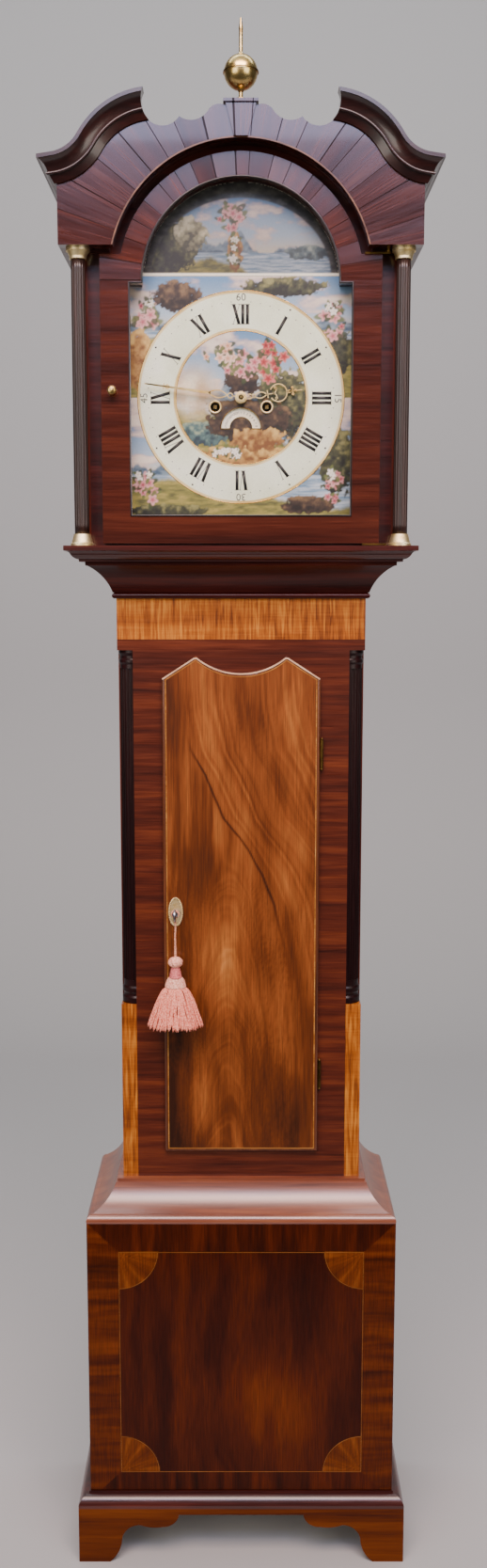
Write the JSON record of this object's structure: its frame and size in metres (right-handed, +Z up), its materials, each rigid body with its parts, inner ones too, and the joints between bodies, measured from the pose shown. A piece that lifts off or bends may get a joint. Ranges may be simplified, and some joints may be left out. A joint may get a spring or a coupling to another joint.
{
  "type": "longcase clock",
  "caption": "Tall floor clock with an arched dial, a swan-neck hood that slides off, a shaped trunk door and a weight-driven pendulum movement.",
  "frame": {"origin": "on the floor, under the middle of the box that holds the clock", "axes": "+Z up, -Y towards the viewer, +X to the viewer's right"},
  "size_m": [0.551, 0.273, 2.2727],
  "materials": {
    "mahogany": "french polished mahogany",
    "figured_mahogany": "french polished flame mahogany veneer",
    "veneered_mahogany": "french polished cross-cut veneer",
    "maple": "polished figured maple veneer",
    "ebonised": "ebonised and polished",
    "pine": "planed pine",
    "brass": "lacquered brass",
    "gilt_brass": "gilt",
    "steel": "polished steel",
    "bell_metal": "turned bell metal",
    "lead": "cast lead",
    "dial_paint": "japanned iron",
    "glass": "flat glass",
    "gut": "gut line",
    "silk": "silk threads"
  },
  "bodies": {
    "case": {"bracket_feet": "mahogany", "plinth_moulding": "mahogany", "base_front_panel": "figured_mahogany", "base_carcass": "mahogany", "waist_moulding": "mahogany", "trunk_front_frame": "mahogany", "trunk_cheeks": "mahogany", "backboard": "pine", "quarter_columns": "ebonised", "maple_panels": "maple", "throat_moulding": "mahogany", "trunk_hinge_plates": "brass", "seatboard": "pine", "movement_plates": "brass", "back_cock": "brass", "dial_plate": "dial_paint", "bell": "bell_metal", "going_line": "gut", "strike_line": "gut"},
    "trunk_door": {"trunk_door_panel": "figured_mahogany", "trunk_door_hinge_leaves": "brass", "door_lock": "steel", "escutcheon": "brass"},
    "lock_bolt": {"lock_bolt": "steel"},
    "door_key": {"door_key": "steel"},
    "tassel": {"tassel_cord": "silk", "tassel": "silk"},
    "hood": {"hood_base_moulding": "mahogany", "hood_carcass": "mahogany", "mask_board": "mahogany", "pediment_fascia": "veneered_mahogany", "frieze_returns": "mahogany", "swan_neck_mouldings": "mahogany", "pediment_keystone": "veneered_mahogany", "hood_columns": "ebonised", "column_brasses": "brass", "ball_finial": "brass"},
    "hood_door": {"hood_door_frame": "mahogany", "hood_door_glass": "glass", "hood_door_knob": "brass", "hood_door_straps": "brass"},
    "minute_hand": {"minute_hand": "gilt_brass", "cannon_pinion": "brass"},
    "hour_hand": {"hour_hand": "gilt_brass", "hour_wheel": "brass"},
    "minute_wheel": {"minute_wheel": "brass"},
    "centre_wheel": {"centre_wheel": "brass"},
    "third_wheel": {"third_wheel": "brass"},
    "escape_wheel": {"escape_wheel": "brass"},
    "pallets": {"pallets": "steel"},
    "pendulum": {"pendulum_rod": "steel", "pendulum_bob": "brass"},
    "going_barrel": {"going_barrel": "brass"},
    "going_great_wheel": {"going_great_wheel": "brass"},
    "going_weight": {"going_weight": "lead"},
    "strike_barrel": {"strike_barrel": "brass"},
    "strike_great_wheel": {"strike_great_wheel": "brass"},
    "strike_weight": {"strike_weight": "lead"},
    "hammer": {"hammer": "steel"},
    "date_disc": {"date_disc": "dial_paint"}
  },
  "joints": [
    {"name": "trunk_door_hinge", "type": "hinge", "parent": "case", "child": "trunk_door", "pos_m": [0.1203, -0.04925, 0.649], "axis": [0, 0, 1], "range_deg": [0, 110]},
    {"name": "key_turn", "type": "hinge", "parent": "trunk_door", "child": "door_key", "pos_m": [-0.099, 0, 1.029], "axis": [0, 1, 0], "range_deg": [0, 90]},
    {"name": "bolt_slide", "type": "slide", "parent": "trunk_door", "child": "lock_bolt", "axis": [-1, 0, 0], "range_m": [0, 0.008]},
    {"name": "tassel_swing", "type": "hinge", "parent": "trunk_door", "child": "tassel", "pos_m": [-0.099, 0, 1.029], "axis": [0, 1, 0], "range_deg": [-25, 25]},
    {"name": "hood_slide", "type": "slide", "parent": "case", "child": "hood", "axis": [0, -1, 0], "range_m": [0, 0.28]},
    {"name": "hood_door_hinge", "type": "hinge", "parent": "hood", "child": "hood_door", "pos_m": [0.205, -0.0885, 1.572], "axis": [0, 0, 1], "range_deg": [0, 95]},
    {"name": "hands_set", "type": "hinge", "parent": "case", "child": "minute_hand", "pos_m": [0, 0, 1.782], "axis": [0, 1, 0], "continuous": true},
    {"name": "minute_wheel_turn", "type": "hinge", "parent": "case", "child": "minute_wheel", "pos_m": [0, 0, 1.808], "axis": [0, 1, 0], "continuous": true},
    {"name": "hour_hand_turn", "type": "hinge", "parent": "case", "child": "hour_hand", "pos_m": [0, 0, 1.782], "axis": [0, 1, 0], "continuous": true},
    {"name": "escape_wheel_turn", "type": "hinge", "parent": "case", "child": "escape_wheel", "pos_m": [0, 0, 1.82], "axis": [0, 1, 0], "continuous": true},
    {"name": "third_wheel_turn", "type": "hinge", "parent": "case", "child": "third_wheel", "pos_m": [0.01134, 0, 1.80292], "axis": [0, 1, 0], "continuous": true},
    {"name": "centre_wheel_turn", "type": "hinge", "parent": "case", "child": "centre_wheel", "pos_m": [0, 0, 1.782], "axis": [0, 1, 0], "continuous": true},
    {"name": "going_great_wheel_turn", "type": "hinge", "parent": "case", "child": "going_great_wheel", "pos_m": [0.037, 0, 1.7693], "axis": [0, 1, 0], "continuous": true},
    {"name": "pendulum_swing", "type": "hinge", "parent": "case", "child": "pendulum", "pos_m": [0, 0, 1.85], "axis": [0, 1, 0], "range_deg": [-3, 3]},
    {"name": "pallets_rock", "type": "hinge", "parent": "case", "child": "pallets", "pos_m": [0, 0, 1.85], "axis": [0, 1, 0], "range_deg": [-3.1, 3.1]},
    {"name": "going_weight_lift", "type": "slide", "parent": "case", "child": "going_weight", "axis": [0, 0, 1], "range_m": [0, 0.84], "deforming": ["going_line"]},
    {"name": "going_barrel_wind", "type": "hinge", "parent": "case", "child": "going_barrel", "pos_m": [0.037, 0, 1.7693], "axis": [0, 1, 0], "range_deg": [-1, 4168]},
    {"name": "strike_weight_lift", "type": "slide", "parent": "case", "child": "strike_weight", "axis": [0, 0, 1], "range_m": [0, 0.84], "deforming": ["strike_line"]},
    {"name": "strike_barrel_wind", "type": "hinge", "parent": "case", "child": "strike_barrel", "pos_m": [-0.037, 0, 1.7693], "axis": [0, 1, 0], "range_deg": [-1, 4168]},
    {"name": "strike_great_wheel_turn", "type": "hinge", "parent": "case", "child": "strike_great_wheel", "pos_m": [-0.037, 0, 1.7693], "axis": [0, 1, 0], "continuous": true},
    {"name": "hammer_lift", "type": "hinge", "parent": "case", "child": "hammer", "pos_m": [-0.036, 0, 1.844], "axis": [0, -1, 0], "range_deg": [0, 12], "stiffness_Nm_per_rad": 0.02, "springref_deg": -20.05},
    {"name": "date_disc_turn", "type": "hinge", "parent": "case", "child": "date_disc", "pos_m": [0, 0, 1.7396], "axis": [0, 1, 0], "continuous": true}
  ],
  "couplings": [
    {"joint": "bolt_slide", "follows": "key_turn", "m_per_rad": 0.005093},
    {"joint": "minute_wheel_turn", "follows": "hands_set", "ratio": -1},
    {"joint": "hour_hand_turn", "follows": "hands_set", "ratio": 0.083333},
    {"joint": "third_wheel_turn", "follows": "escape_wheel_turn", "ratio": -0.125},
    {"joint": "centre_wheel_turn", "follows": "escape_wheel_turn", "ratio": 0.016667},
    {"joint": "going_great_wheel_turn", "follows": "escape_wheel_turn", "ratio": -0.0013889},
    {"joint": "pallets_rock", "follows": "pendulum_swing", "ratio": 1},
    {"joint": "going_barrel_wind", "follows": "going_weight_lift", "rad_per_m": 86.58},
    {"joint": "strike_barrel_wind", "follows": "strike_weight_lift", "rad_per_m": 86.58}
  ]
}
